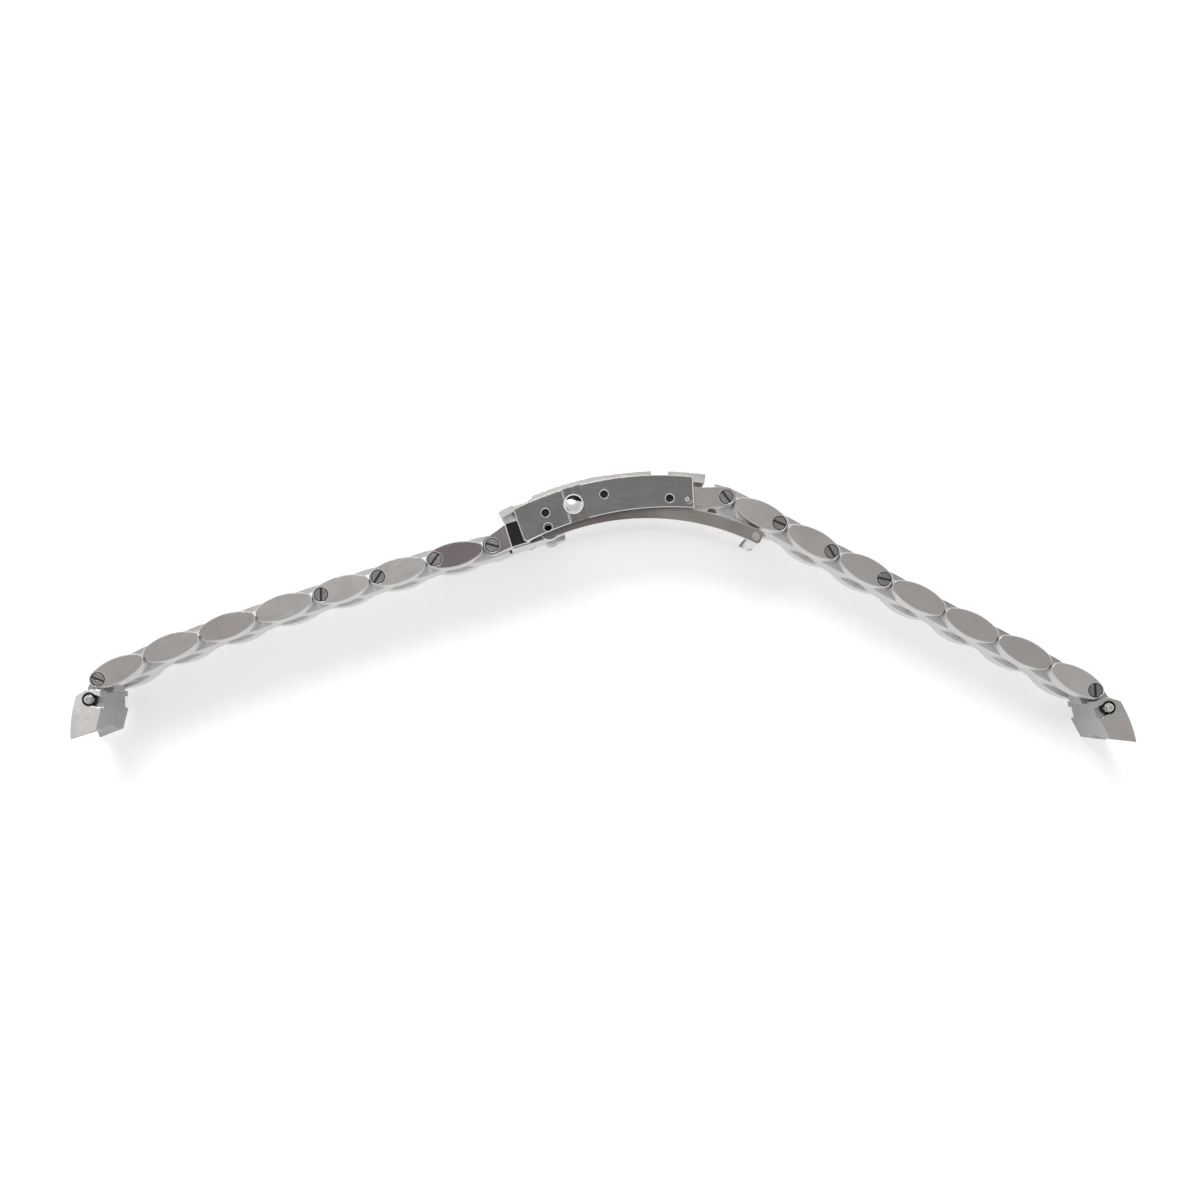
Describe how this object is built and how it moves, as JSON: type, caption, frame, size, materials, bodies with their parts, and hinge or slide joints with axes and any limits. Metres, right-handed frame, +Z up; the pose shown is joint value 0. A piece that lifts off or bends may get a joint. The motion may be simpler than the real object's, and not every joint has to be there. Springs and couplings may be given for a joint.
{
  "type": "watch bracelet",
  "caption": "Steel three-row watch bracelet with screwed links, curved end links on spring bars and a fold-over clasp with push buttons and a safety lock, closed and standing on edge.",
  "frame": {"origin": "middle of the bracelet's outline seen along its width, on the floor under the lower spring bar tips", "axes": "+X along the closed bracelet from the left end link to the right one, +Y to the outer side of the clasp, +Z up along the width of the band and along every hinge"},
  "size_m": [0.1528, 0.039, 0.0224],
  "materials": {
    "side_link_steel": "satin, brushed along the strand, polished bevels",
    "centre_link_steel": "brushed top, satin",
    "clasp_link_steel": "brushed, polished ends",
    "end_link_steel": "satin with polished edges",
    "cover_steel": "brushed along its length",
    "lock_steel": "brushed",
    "blade_steel": "brushed, bright",
    "button_steel": "polished",
    "screw_steel": "turned, slotted",
    "pin_steel": "bright turned",
    "spring_steel": "bright wire"
  },
  "bodies": {
    "cover": {"cover": "cover_steel", "cover_hinge_pin": "pin_steel", "safety_lock_pin": "pin_steel", "adjusting_bar": "pin_steel", "button_spring": "spring_steel"},
    "safety_lock": {"safety_lock": "lock_steel"},
    "near_button": {"near_button": "button_steel"},
    "far_button": {"far_button": "button_steel"},
    "middle_blade": {"middle_blade": "blade_steel", "blade_hinge_pin": "pin_steel"},
    "inner_blade": {"inner_blade": "blade_steel", "blade_bar": "pin_steel"},
    "left_clasp_link": {"left_clasp_link": "clasp_link_steel", "left_clasp_screw": "screw_steel"},
    "left_link_1": {"left_link_1_outers": "side_link_steel", "left_link_1_centre": "centre_link_steel", "left_link_1_screw": "screw_steel"},
    "left_link_2": {"left_link_2_outers": "side_link_steel", "left_link_2_centre": "centre_link_steel", "left_link_2_screw": "screw_steel"},
    "left_link_3": {"left_link_3_outers": "side_link_steel", "left_link_3_centre": "centre_link_steel", "left_link_3_screw": "screw_steel"},
    "left_link_4": {"left_link_4_outers": "side_link_steel", "left_link_4_centre": "centre_link_steel"},
    "left_link_5": {"left_link_5_outers": "side_link_steel", "left_link_5_centre": "centre_link_steel"},
    "left_link_6": {"left_link_6_outers": "side_link_steel", "left_link_6_centre": "centre_link_steel"},
    "left_link_7": {"left_link_7_outers": "side_link_steel", "left_link_7_centre": "centre_link_steel", "left_link_7_screw": "screw_steel"},
    "left_end_link": {"left_end_link": "end_link_steel", "left_end_bar": "pin_steel"},
    "left_end_bar_near_tip": {"left_end_bar_near_tip": "pin_steel"},
    "left_end_bar_far_tip": {"left_end_bar_far_tip": "pin_steel"},
    "right_clasp_link": {"right_clasp_link": "clasp_link_steel", "right_clasp_screw": "screw_steel"},
    "right_link_1": {"right_link_1_outers": "side_link_steel", "right_link_1_centre": "centre_link_steel", "right_link_1_screw": "screw_steel"},
    "right_link_2": {"right_link_2_outers": "side_link_steel", "right_link_2_centre": "centre_link_steel", "right_link_2_screw": "screw_steel"},
    "right_link_3": {"right_link_3_outers": "side_link_steel", "right_link_3_centre": "centre_link_steel", "right_link_3_screw": "screw_steel"},
    "right_link_4": {"right_link_4_outers": "side_link_steel", "right_link_4_centre": "centre_link_steel"},
    "right_link_5": {"right_link_5_outers": "side_link_steel", "right_link_5_centre": "centre_link_steel"},
    "right_link_6": {"right_link_6_outers": "side_link_steel", "right_link_6_centre": "centre_link_steel"},
    "right_link_7": {"right_link_7_outers": "side_link_steel", "right_link_7_centre": "centre_link_steel", "right_link_7_screw": "screw_steel"},
    "right_end_link": {"right_end_link": "end_link_steel", "right_end_bar": "pin_steel"},
    "right_end_bar_near_tip": {"right_end_bar_near_tip": "pin_steel"},
    "right_end_bar_far_tip": {"right_end_bar_far_tip": "pin_steel"}
  },
  "joints": [
    {"name": "safety_lock_hinge", "type": "hinge", "parent": "cover", "child": "safety_lock", "pos_m": [0.00002, 0.01613, 0.0112], "axis": [0, 0, 1], "range_deg": [-55, 0]},
    {"name": "near_button_press", "type": "slide", "parent": "cover", "child": "near_button", "axis": [0, 0, -1], "range_m": [0, 0.0007], "stiffness_N_per_m": 900, "springref_m": -0.0008, "deforming": ["button_spring"]},
    {"name": "far_button_press", "type": "slide", "parent": "cover", "child": "far_button", "axis": [0, 0, 1], "range_m": [0, 0.0007], "stiffness_N_per_m": 900, "springref_m": -0.0008},
    {"name": "cover_hinge", "type": "hinge", "parent": "cover", "child": "middle_blade", "pos_m": [-0.00842, 0.01344, 0.0112], "axis": [0, 0, 1], "range_deg": [-150, 0]},
    {"name": "blade_hinge", "type": "hinge", "parent": "middle_blade", "child": "inner_blade", "pos_m": [0.02192, 0.0102, 0.0112], "axis": [0, 0, 1], "range_deg": [0, 165]},
    {"name": "left_clasp_link_hinge", "type": "hinge", "parent": "inner_blade", "child": "left_clasp_link", "pos_m": [-0.00804, 0.01135, 0.0112], "axis": [0, 0, 1], "range_deg": [-2.5, 30]},
    {"name": "left_link_1_hinge", "type": "hinge", "parent": "left_clasp_link", "child": "left_link_1", "pos_m": [-0.0161, 0.00884, 0.0112], "axis": [0, 0, 1], "range_deg": [-0.5, 38.4]},
    {"name": "left_link_2_hinge", "type": "hinge", "parent": "left_link_1", "child": "left_link_2", "pos_m": [-0.02439, 0.00679, 0.0112], "axis": [0, 0, 1], "range_deg": [-7.3, 31.6]},
    {"name": "left_link_3_hinge", "type": "hinge", "parent": "left_link_2", "child": "left_link_3", "pos_m": [-0.03255, 0.00425, 0.0112], "axis": [0, 0, 1], "range_deg": [-4.1, 34.8]},
    {"name": "left_link_4_hinge", "type": "hinge", "parent": "left_link_3", "child": "left_link_4", "pos_m": [-0.04069, 0.00168, 0.0112], "axis": [0, 0, 1], "range_deg": [-4.6, 34.3]},
    {"name": "left_link_5_hinge", "type": "hinge", "parent": "left_link_4", "child": "left_link_5", "pos_m": [-0.04881, -0.00098, 0.0112], "axis": [0, 0, 1], "range_deg": [-4.8, 34.1]},
    {"name": "left_link_6_hinge", "type": "hinge", "parent": "left_link_5", "child": "left_link_6", "pos_m": [-0.05688, -0.00378, 0.0112], "axis": [0, 0, 1], "range_deg": [-5.6, 33.3]},
    {"name": "left_link_7_hinge", "type": "hinge", "parent": "left_link_6", "child": "left_link_7", "pos_m": [-0.06486, -0.00681, 0.0112], "axis": [0, 0, 1], "range_deg": [-8.9, 30]},
    {"name": "left_end_link_hinge", "type": "hinge", "parent": "left_link_7", "child": "left_end_link", "pos_m": [-0.07255, -0.01053, 0.0112], "axis": [0, 0, 1], "range_deg": [-55, 7]},
    {"name": "left_end_bar_near_tip_press", "type": "slide", "parent": "left_end_link", "child": "left_end_bar_near_tip", "axis": [0, 0, -1], "range_m": [0, 0.0011], "stiffness_N_per_m": 1500, "springref_m": -0.0008},
    {"name": "left_end_bar_far_tip_press", "type": "slide", "parent": "left_end_link", "child": "left_end_bar_far_tip", "axis": [0, 0, 1], "range_m": [0, 0.0011], "stiffness_N_per_m": 1500, "springref_m": -0.0008},
    {"name": "right_clasp_link_hinge", "type": "hinge", "parent": "cover", "child": "right_clasp_link", "pos_m": [0.01201, 0.01539, 0.0112], "axis": [0, 0, 1], "range_deg": [-1, 4]},
    {"name": "right_link_1_hinge", "type": "hinge", "parent": "right_clasp_link", "child": "right_link_1", "pos_m": [0.01769, 0.01584, 0.0112], "axis": [0, 0, 1], "range_deg": [-0.8, 34.8]},
    {"name": "right_link_2_hinge", "type": "hinge", "parent": "right_link_1", "child": "right_link_2", "pos_m": [0.02535, 0.01206, 0.0112], "axis": [0, 0, 1], "range_deg": [-32.4, 6.5]},
    {"name": "right_link_3_hinge", "type": "hinge", "parent": "right_link_2", "child": "right_link_3", "pos_m": [0.03282, 0.00793, 0.0112], "axis": [0, 0, 1], "range_deg": [-36.1, 2.8]},
    {"name": "right_link_4_hinge", "type": "hinge", "parent": "right_link_3", "child": "right_link_4", "pos_m": [0.04038, 0.00395, 0.0112], "axis": [0, 0, 1], "range_deg": [-34.8, 4.1]},
    {"name": "right_link_5_hinge", "type": "hinge", "parent": "right_link_4", "child": "right_link_5", "pos_m": [0.04792, -0.00006, 0.0112], "axis": [0, 0, 1], "range_deg": [-35.5, 3.4]},
    {"name": "right_link_6_hinge", "type": "hinge", "parent": "right_link_5", "child": "right_link_6", "pos_m": [0.05549, -0.004, 0.0112], "axis": [0, 0, 1], "range_deg": [-35.5, 3.4]},
    {"name": "right_link_7_hinge", "type": "hinge", "parent": "right_link_6", "child": "right_link_7", "pos_m": [0.0631, -0.00788, 0.0112], "axis": [0, 0, 1], "range_deg": [-32.5, 6.4]},
    {"name": "right_end_link_hinge", "type": "hinge", "parent": "right_link_7", "child": "right_end_link", "pos_m": [0.07054, -0.01209, 0.0112], "axis": [0, 0, 1], "range_deg": [-25, 37]},
    {"name": "right_end_bar_near_tip_press", "type": "slide", "parent": "right_end_link", "child": "right_end_bar_near_tip", "axis": [0, 0, -1], "range_m": [0, 0.0011], "stiffness_N_per_m": 1500, "springref_m": -0.0008},
    {"name": "right_end_bar_far_tip_press", "type": "slide", "parent": "right_end_link", "child": "right_end_bar_far_tip", "axis": [0, 0, 1], "range_m": [0, 0.0011], "stiffness_N_per_m": 1500, "springref_m": -0.0008}
  ],
  "couplings": [
    {"joint": "cover_hinge", "follows": "blade_hinge", "ratio": -0.9}
  ]
}
